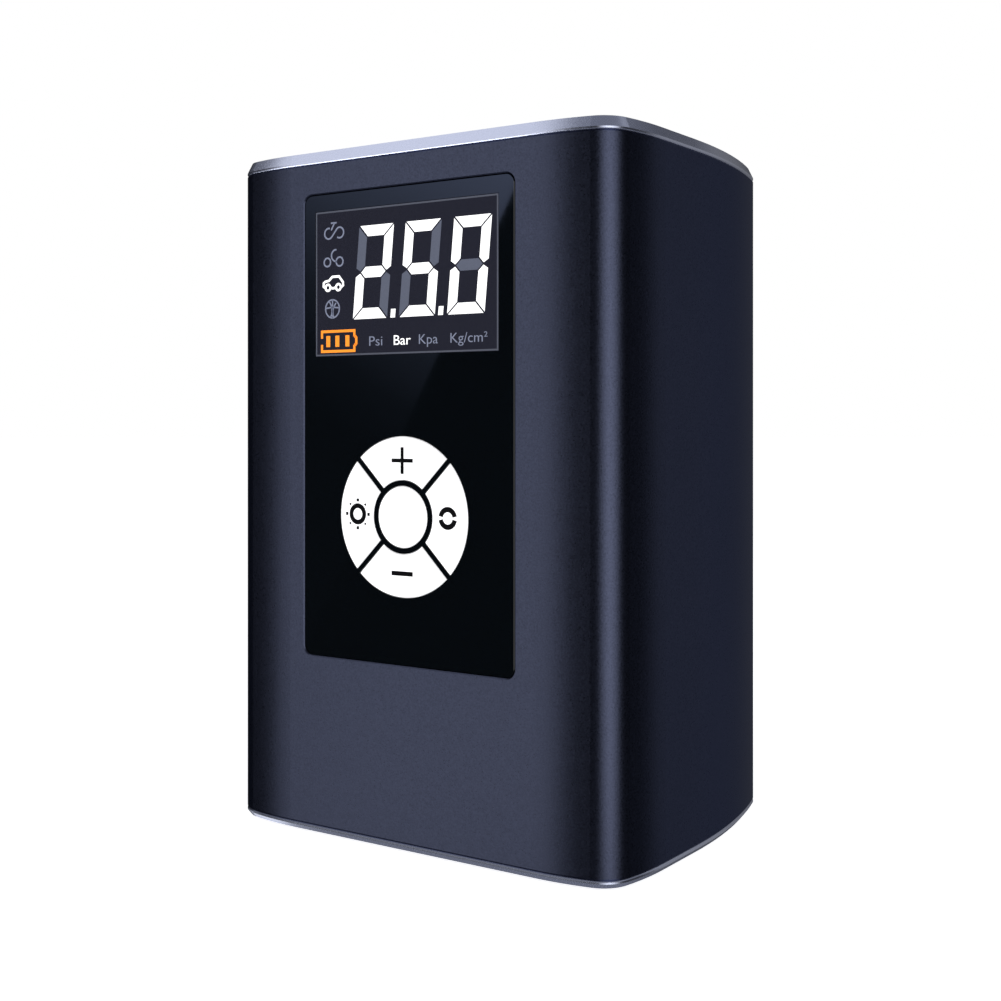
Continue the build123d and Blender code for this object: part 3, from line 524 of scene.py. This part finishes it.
def make_symbols(inks):
    """Bicycle, scooter, car and ball down the left edge."""
    bicycle = [
        (arc(-1.2, -0.15, 0.95, 75, 318) + arc(1.35, -0.1, 0.95, 150, -125), False),
        ([(-0.62, 0.42), (0.12, 1.62)], False),
        ([(-0.68, 1.7), (0.62, 1.7)], False),
    ]
    symbol("symbol_bicycle", bicycle, SYMBOL_LINE, (-16.07, 9.15), inks["dim_symbol"])
    scooter = [
        (arc(-1.44, -0.7, 0.76, 0, 337, 27), True),
        (arc(1.44, -0.7, 0.8, 0, 337, 27), True),
        (arc(0.55, 0.45, 1.02, 82, 235) + [(0.35, -0.62), (0.78, -0.7)], False),
    ]
    symbol("symbol_scooter", scooter, SYMBOL_LINE, (-16.15, 4.55), inks["dim_symbol"])
    body = [(-1.95, -0.72), (-2.3, -0.45), (-2.28, 0.12), (-1.95, 0.38), (-1.05, 0.52)]
    body += [(-0.2, 1.2), (1.35, 1.2), (2.28, 0.15), (2.32, -0.45), (1.95, -0.72)]
    car = [
        (body, False),
        (arc(-1.25, -0.72, 0.55, 0, 337, 27), True),
        (arc(1.2, -0.72, 0.55, 0, 337, 27), True),
        ([(-0.7, -0.66), (-0.3, -0.85), (0.25, -0.85), (0.65, -0.66)], False),
    ]
    symbol("symbol_car", car, CAR_LINE, (-16.2, 0.0), inks["lit_white"])
    ball = [
        (arc(0, 0, 1.62, 0, 350, 35), True),
        ([(-1.55, 0.12), (0, 0.3), (1.55, 0.12)], False),
        (arc(2.2, -0.6, 2.1, 130, 205, 12), False),
        (arc(-2.3, -0.3, 2.2, 45, -32, 12), False),
        ([(0.02, 1.6), (0.02, -1.6)], False),
    ]
    symbol("symbol_ball", ball, BALL_LINE, (-16.38, -4.55), inks["dim_symbol"])


def make_battery_gauge(inks):
    """Battery outline with a gap in its left end, a tip on its right, and three bars."""
    left, right, top = -BATTERY_HALF_WIDTH, BATTERY_HALF_WIDTH, BATTERY_HALF_HEIGHT
    gap = 0.55
    neck = 0.75
    tip = 0.7
    tip_x = right + 0.45
    upper = [(left, gap), (left, top), (right, top), (right, neck)]
    case = [(upper, False), ([(x, -z) for x, z in upper], False)]
    case.append(([(tip_x, tip), (tip_x, -tip)], False))
    case.append(([(right, neck), (tip_x, tip)], False))
    case.append(([(right, -neck), (tip_x, -tip)], False))
    symbol("battery_outline", case, BATTERY_LINE, BATTERY_CENTER, inks["amber"])
    cx, cz = GLASS_X + BATTERY_CENTER[0] * MM, GLASS_Z + BATTERY_CENTER[1] * MM
    high = BATTERY_BAR_HALF_HEIGHT
    bars = []
    for middle in BATTERY_BAR_CENTERS:
        near, far = middle - BATTERY_BAR_HALF_WIDTH, middle + BATTERY_BAR_HALF_WIDTH
        bars.append(shifted([(near, -high), (far, -high), (far, high), (near, high)], cx, cz))
    gauge = slabs("battery_bars", bars, PRINT_Y, PRINT_HEIGHT)
    finish_piece(gauge, inks["amber"], "housing")


def make_frame_line(inks):
    """The thin printed line round the display."""
    inset = BORDER_INSET * MM
    x0, x1 = GLASS_LOW.x + inset, GLASS_HIGH.x - inset
    z0, z1 = GLASS_LOW.z + inset, GLASS_HIGH.z - inset
    corners = [(x0, z0), (x1, z0), (x1, z1), (x0, z1)]
    border = line_art("display_border", [(corners, True)], BORDER_LINE * MM, PRINT_Y, PRINT_HEIGHT)
    finish_piece(border, inks["frame_line"], "housing")


# Each row: piece name, text, left end and width in mm, boldness in mm, ink.
UNITS = (
    ("unit_psi", "Psi", -8.1, 2.96, -0.012, "dim_symbol"),
    ("unit_bar", "Bar", -2.56, 3.7, 0.0, "lit_white"),
    ("unit_kpa", "Kpa", 2.93, 4.04, -0.012, "dim_symbol"),
    ("unit_kg", "Kg/cm²", 9.66, 7.64, -0.012, "dim_symbol"),
)
UNIT_SIZE = 2.45
UNIT_BASELINE = -11.45


def letter_mesh(name, text, bold):
    """Mesh of a word lying flat, with its left end at the origin."""
    curve = bpy.data.curves.new(name, "FONT")
    curve.body = text
    curve.size = UNIT_SIZE * MM
    curve.offset = bold * MM
    curve.extrude = PRINT_HEIGHT / 2
    curve.resolution_u = 4
    letters = link_new(name + "_curve", curve)
    bpy.context.view_layer.update()
    mesh = bpy.data.meshes.new_from_object(letters.evaluated_get(bpy.context.evaluated_depsgraph_get()))
    mesh.name = name
    bpy.data.objects.remove(letters)
    return mesh


def make_units(inks):
    """Pressure units along the bottom of the display."""
    for name, text, left, width, bold, ink in UNITS:
        mesh = letter_mesh(name, text, bold)
        xs = [v.co.x for v in mesh.vertices]
        stretch = width * MM / (max(xs) - min(xs))
        baseline = GLASS_Z + UNIT_BASELINE * MM
        place = Matrix.Translation((GLASS_X + left * MM, PRINT_Y - PRINT_HEIGHT / 2, baseline))
        upright = Matrix.Rotation(math.pi / 2, 4, "X")
        mesh.transform(place @ upright @ Matrix.Diagonal((stretch, 1, 1, 1)))
        finish_piece(link_new(name, mesh), inks[ink], "housing")


# ---------------------------------------------------------------- key symbols

# Places and sizes in mm, measured from the middle of the keypad. Rings are (radius, line width), and rays are
# (name, first angle, inner end, outer end, line width).
KEY_REACH = 9.8
SIGN_HALF = 2.32
PLUS_BAR = 0.66
MINUS_BAR = 0.78
LAMP_PLACE = (-9.95, 0.2)
LAMP_RING = (1.46, 0.84)
LAMP_RAYS = (("main", 0, 2.2, 2.72, 0.54), ("between", 45, 2.24, 2.58, 0.38))
MODE_PLACE = (9.8, 0.15)
MODE_ARC = (1.48, 0.9)
MODE_GAP = 0.02


def make_key_symbols(inks):
    """Ink symbols on the four outer keys; each rides its key."""
    low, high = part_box("key_start")
    cx, cz = (low.x + high.x) / 2, (low.z + high.z) / 2
    key_y = low.y
    ink = inks["key_ink"]

    def put(name, lines, width, place, body):
        px, pz = cx + place[0] * MM, cz + place[1] * MM
        placed = [(shifted(points, px, pz), closed) for points, closed in lines]
        finish_piece(line_art(name, placed, width * MM, key_y, PRINT_HEIGHT), ink, body)

    half, side = SIGN_HALF, PLUS_BAR / 2
    plus = [(-side, half), (side, half), (side, side), (half, side), (half, -side), (side, -side)]
    plus += [(side, -half), (-side, -half), (-side, -side), (-half, -side), (-half, side), (-side, side)]
    plus_piece = slabs("symbol_plus", [shifted(plus, cx, cz + KEY_REACH * MM)], key_y, PRINT_HEIGHT)
    finish_piece(plus_piece, ink, "plus_key")
    put("symbol_minus", [([(-half, 0), (half, 0)], False)], MINUS_BAR, (0, -KEY_REACH), "minus_key")
    for name, first, near, far, width in LAMP_RAYS:
        rays = []
        for turn in (math.radians(first + 90 * i) for i in range(4)):
            rays.append(([(r * math.cos(turn), r * math.sin(turn)) for r in (near, far)], False))
        put("symbol_rays_" + name, rays, width, LAMP_PLACE, "light_key")
    radius, width = LAMP_RING
    put("symbol_lamp", [(arc(0, 0, radius, 0, 348, 29), True)], width, LAMP_PLACE, "light_key")
    radius, width = MODE_ARC
    arcs = [(arc(0, MODE_GAP, radius, 10, 170), False), (arc(0, -MODE_GAP, radius, 190, 350), False)]
    put("symbol_mode", arcs, width, MODE_PLACE, "mode_key")


# ---------------------------------------------------------------- valve spring

SPRING_WIRE = 0.18 * MM  # radius of the wire
SPRING_PITCH = 0.8 * MM
RINGS_PER_TURN = 40
WIRE_SIDES = 12


def coil_rings(build, low, high):
    """Rings of vertices round the wire, from the coil's lower end to its upper end."""
    center_x, center_y = (low.x + high.x) / 2, (low.y + high.y) / 2
    radius = (high.x - low.x) / 2 - SPRING_WIRE
    rise = high.z - low.z - 2 * SPRING_WIRE
    turns = rise / SPRING_PITCH
    steps = math.ceil(turns * RINGS_PER_TURN)
    tilt = math.atan2(SPRING_PITCH, 2 * math.pi * radius)
    rings = []
    for step in range(steps + 1):
        angle = 2 * math.pi * turns * step / steps
        outward = Vector((math.cos(angle), math.sin(angle), 0))
        level = math.cos(tilt)
        along = Vector((-math.sin(angle) * level, math.cos(angle) * level, math.sin(tilt)))
        upward = outward.cross(along)
        middle = Vector((center_x, center_y, low.z + SPRING_WIRE + rise * step / steps)) + outward * radius
        ring = []
        for side in range(WIRE_SIDES):
            turn = 2 * math.pi * side / WIRE_SIDES
            across = outward * SPRING_WIRE * math.cos(turn)
            ring.append(build.verts.new(middle + across + upward * SPRING_WIRE * math.sin(turn)))
        rings.append(ring)
    return rings


def make_coil_spring(material):
    """The valve's coil spring, built as a coil of wire at one length; the real spring shortens against the
    head as the valve lifts.
    """
    low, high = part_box("valve_spring")
    mesh = bpy.data.meshes.new("coil_spring")
    build = bmesh.new()
    rings = coil_rings(build, low, high)
    for before, after in zip(rings, rings[1:]):
        for side in range(WIRE_SIDES):
            beyond = (side + 1) % WIRE_SIDES
            build.faces.new((before[side], before[beyond], after[beyond], after[side]))
    build.faces.new(rings[0])
    build.faces.new(rings[-1])
    bmesh.ops.recalc_face_normals(build, faces=build.faces)
    for face in build.faces:
        face.smooth = len(face.verts) == 4
    build.to_mesh(mesh)
    build.free()
    spring = finish_piece(link_new("coil_spring", mesh), material, "housing")
    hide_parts("valve_spring")
    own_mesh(spring)


# ---------------------------------------------------------------- studio

MIDDLE = (CAD_LOW + CAD_HIGH) / 2
FLOOR_RADIUS = 6.0
CARD_HEIGHT = 0.075
# Each row: name, azimuth in degrees, distance, height, (width, height), radiance.
CARDS = (
    ("key_soft", -32.5, 0.60, CARD_HEIGHT, (0.315, 0.70), 1.28),
    ("corner_glow", 53, 0.62, CARD_HEIGHT, (1.00, 0.60), 2.0),
    ("side_soft", 163, 0.62, CARD_HEIGHT, (0.60, 0.70), 0.33),
    ("top_soft", -51, 0.58, 0.62, (0.46, 0.40), 0.92),
    ("rear_top", 150, 0.30, 0.66, (0.50, 0.42), 0.25),
)
# Brightness across a card's width: (place from 0 to 1, share of the radiance).
CARD_STOPS = {
    "key_soft": ((0.0, 1.0), (0.22, 1.0), (0.5, 0.7), (0.78, 1.0), (1.0, 1.0)),
    "corner_glow": ((0.12, 0.0), (0.27, 0.45), (0.5, 1.0), (0.75, 0.5), (0.9, 0.08), (1.0, 0.0)),
    "side_soft": ((0.0, 1.0), (0.35, 0.9), (0.6, 0.6), (1.0, 0.3)),
}
SHEEN_EDGE_TOP = Vector((-0.354, -0.6, 0.226))
SHEEN_EDGE_BOTTOM = Vector((-0.444, -0.6, 0.071))
SHEEN_SIZE = (0.40, 0.70)
SHEEN_TINT = (0.51, 0.62, 1.0)
SHEEN_GLOW = 1.6
SHEEN_STOPS = ((0.33, 0.006), (0.386, 0.037), (0.439, 0.14), (0.491, 0.31), (0.56, 0.62), (0.63, 1.0))
# Each row: name, node that reflects it, (width, depth), (shift in x, shift in y from the front), radiance.
RIM_CARDS = (
    ("top_line", "top_cap", (0.122, 0.06), (-0.104, -0.029), 4.0),
    ("base_line", "bottom_cap", (0.085, 0.06), (0.0, -0.033), 0.4),
)
CARD_LIFT = 0.0005
PATCH_SIZE = (0.07, 0.06)
PATCH_OFFSET = Vector((-0.07, 0.0, -0.05))
PATCH_AIM = Vector((0.007, 0, 0))
PATCH_GLOW = 1.0
CAMERA_LENS = 51.52
CAMERA_SHIFT = -0.0803
CAMERA_OFFSET = Vector((0.15336, -0.22807, 0.01331))
CAMERA_TURN = 34.24
CAMERA_CLIP = 0.01


def area_light(name, place, target, size, power, color=(1, 1, 1), roll=0.0):
    """Rectangular soft light aimed at a point."""
    data = bpy.data.lights.new(name, "AREA")
    data.shape = "RECTANGLE"
    data.size, data.size_y = size
    data.energy = power
    data.color = color
    light = link_new(name, data)
    light.location = place
    aim = (Vector(target) - Vector(place)).to_track_quat("-Z", "Y")
    light.rotation_mode = "QUATERNION"
    light.rotation_quaternion = aim @ Matrix.Rotation(roll, 4, "Z").to_quaternion()
    light.visible_camera = False
    return light


def polar(azimuth, distance, height):
    """Place round the object: azimuth 0 is in front (-Y), 90 is at +X."""
    turn = math.radians(azimuth)
    return (MIDDLE.x + distance * math.sin(turn), MIDDLE.y - distance * math.cos(turn), height)


def make_world():
    """White for the camera; in reflections dark round the horizon and brighter above and below."""
    world = bpy.data.worlds.new("studio")
    bpy.context.scene.world = world
    world.use_nodes = True
    tree = world.node_tree
    tree.nodes.clear()
    path = tree.nodes.new("ShaderNodeLightPath")
    seen = node(tree, "ShaderNodeBackground", Color=(1.0, 1.0, 1.0, 1), Strength=1.0)
    fill = node(tree, "ShaderNodeBackground", Color=(0.86, 0.89, 1.0, 1))
    direction = tree.nodes.new("ShaderNodeTexCoord")
    split = tree.nodes.new("ShaderNodeSeparateXYZ")
    height = tree.nodes.new("ShaderNodeMath")
    height.operation = "ABSOLUTE"
    tree.links.new(direction.outputs["Generated"], split.inputs[0])
    tree.links.new(split.outputs["Z"], height.inputs[0])
    tree.links.new(ramp(tree, height.outputs[0], 0.035, 0.26, at=(0.35, 0.75)), fill.inputs["Strength"])
    mix = tree.nodes.new("ShaderNodeMixShader")
    out = tree.nodes.new("ShaderNodeOutputWorld")
    tree.links.new(path.outputs["Is Camera Ray"], mix.inputs["Fac"])
    tree.links.new(fill.outputs[0], mix.inputs[1])
    tree.links.new(seen.outputs[0], mix.inputs[2])
    tree.links.new(mix.outputs[0], out.inputs["Surface"])


def clear_from_below(material):
    """Makes a material see-through from its back, so that views from under the floor show the base."""
    tree = material.node_tree
    shader = tree.nodes["Principled BSDF"]
    mix = tree.nodes.new("ShaderNodeMixShader")
    tree.links.new(tree.nodes.new("ShaderNodeNewGeometry").outputs["Backfacing"], mix.inputs["Fac"])
    tree.links.new(shader.outputs[0], mix.inputs[1])
    tree.links.new(tree.nodes.new("ShaderNodeBsdfTransparent").outputs[0], mix.inputs[2])
    tree.links.new(mix.outputs[0], tree.nodes["Material Output"].inputs["Surface"])


def make_floor():
    """Plain white floor that stays out of the metal's reflections."""
    mesh = bpy.data.meshes.new("floor")
    build = bmesh.new()
    bmesh.ops.create_circle(build, cap_ends=True, segments=96, radius=FLOOR_RADIUS)
    build.to_mesh(mesh)
    build.free()
    floor = link_new("floor", mesh)
    floor.location = (0, 0, CAD_LOW.z)
    pale = dict(color=(0.9, 0.9, 0.9), rough=0.9, grain=3.0, bump=0.0, vary=0.002, cloud=0.001, glow=0.96)
    paint = surface("floor_paint", **pale)
    clear_from_below(paint)
    floor.data.materials.append(paint)
    floor.visible_glossy = False
    floor.visible_shadow = False


def light_only(light, names, state):
    """Limits a light to the named nodes, or keeps it off them."""
    group = bpy.data.collections.new(light.name + "_" + state.lower())
    for name in names:
        group.objects.link(NODES[name])
    for entry in group.collection_objects:
        entry.light_linking.link_state = state
    light.light_linking.receiver_collection = group


def shade_card(light, axis, stops):
    """Varies a card's brightness along its width (X) or height (Y). stops are (place, share) pairs."""
    light.data.use_nodes = True
    tree = light.data.node_tree
    split = tree.nodes.new("ShaderNodeSeparateXYZ")
    blend = tree.nodes.new("ShaderNodeValToRGB")
    tree.links.new(tree.nodes.new("ShaderNodeNewGeometry").outputs["Parametric"], split.inputs[0])
    tree.links.new(split.outputs[axis], blend.inputs["Fac"])
    marks = blend.color_ramp.elements
    while len(marks) < len(stops):
        marks.new(0.5)
    for mark, (place, share) in zip(marks, stops):
        mark.position = place
        mark.color = (share, share, share, 1)
    tree.links.new(blend.outputs["Color"], tree.nodes["Emission"].inputs["Color"])


def card_power(radiance, size):
    """Power that makes a card of this size show the given radiance."""
    return radiance * math.pi * size[0] * size[1]


def make_panel_sheen():
    """Slanted card mirrored in the glossy panel: bright at the top right, fading to a faint lower edge."""
    along = (SHEEN_EDGE_TOP - SHEEN_EDGE_BOTTOM).normalized()
    outward = Vector((-along.z, 0, along.x))
    place = (SHEEN_EDGE_TOP + SHEEN_EDGE_BOTTOM) / 2 + outward * SHEEN_SIZE[0] / 2
    lean = math.atan2(-along.x, along.z)
    power = card_power(SHEEN_GLOW, SHEEN_SIZE)
    sheen = area_light("panel_sheen", place, place + Vector((0, 1, 0)), SHEEN_SIZE, power, SHEEN_TINT, lean)
    shade_card(sheen, "Y", SHEEN_STOPS)
    light_only(sheen, ["front_panel"], "INCLUDE")


def make_lights():
    """Soft cards round the object, each as bright as it should look in a reflection."""
    lights = {}
    for name, azimuth, distance, height, size, glow in CARDS:
        place = polar(azimuth, distance, height)
        lights[name] = area_light(name, place, MIDDLE, size, card_power(glow, size))
    light_only(lights["key_soft"], ["front_panel", "display_glass", "bottom_cap"], "EXCLUDE")
    light_only(lights["top_soft"], ["bottom_cap"], "EXCLUDE")
    for name, stops in CARD_STOPS.items():
        shade_card(lights[name], "X", stops)
    make_panel_sheen()
    make_rim_lights()


def make_rim_lights():
    """Small cards that only the pale rims reflect: a line on each, and a patch on the base's far corner."""
    for name, cap, size, (aside, ahead), glow in RIM_CARDS:
        place = Vector((MIDDLE.x + aside, CAD_LOW.y + ahead, CAD_LOW.z + CARD_LIFT))
        light = area_light(name, place, place + Vector((0, 0, 1)), size, card_power(glow, size))
        light_only(light, [cap], "INCLUDE")
    corner = Vector(CAD_LOW)
    power = card_power(PATCH_GLOW, PATCH_SIZE)
    patch = area_light("base_corner", corner + PATCH_OFFSET, corner + PATCH_AIM, PATCH_SIZE, power)
    light_only(patch, ["bottom_cap"], "INCLUDE")


def make_camera():
    """Two-point perspective view of the near right corner."""
    data = bpy.data.cameras.new("camera")
    data.lens = CAMERA_LENS
    data.shift_y = CAMERA_SHIFT
    data.clip_start = CAMERA_CLIP
    camera = link_new("camera", data)
    camera.location = MIDDLE + CAMERA_OFFSET
    camera.rotation_euler = (math.radians(90), 0, math.radians(CAMERA_TURN))
    bpy.context.scene.camera = camera


FINISHED = dress_nodes()
INKS = {name: surface(name, **look) for name, look in PRINTS.items()}
make_digits(INKS)
make_symbols(INKS)
make_battery_gauge(INKS)
make_frame_line(INKS)
make_units(INKS)
make_key_symbols(INKS)
make_coil_spring(FINISHED["spring_steel"])
make_world()
make_floor()
make_lights()
make_camera()
bpy.context.scene.view_settings.view_transform = "Standard"
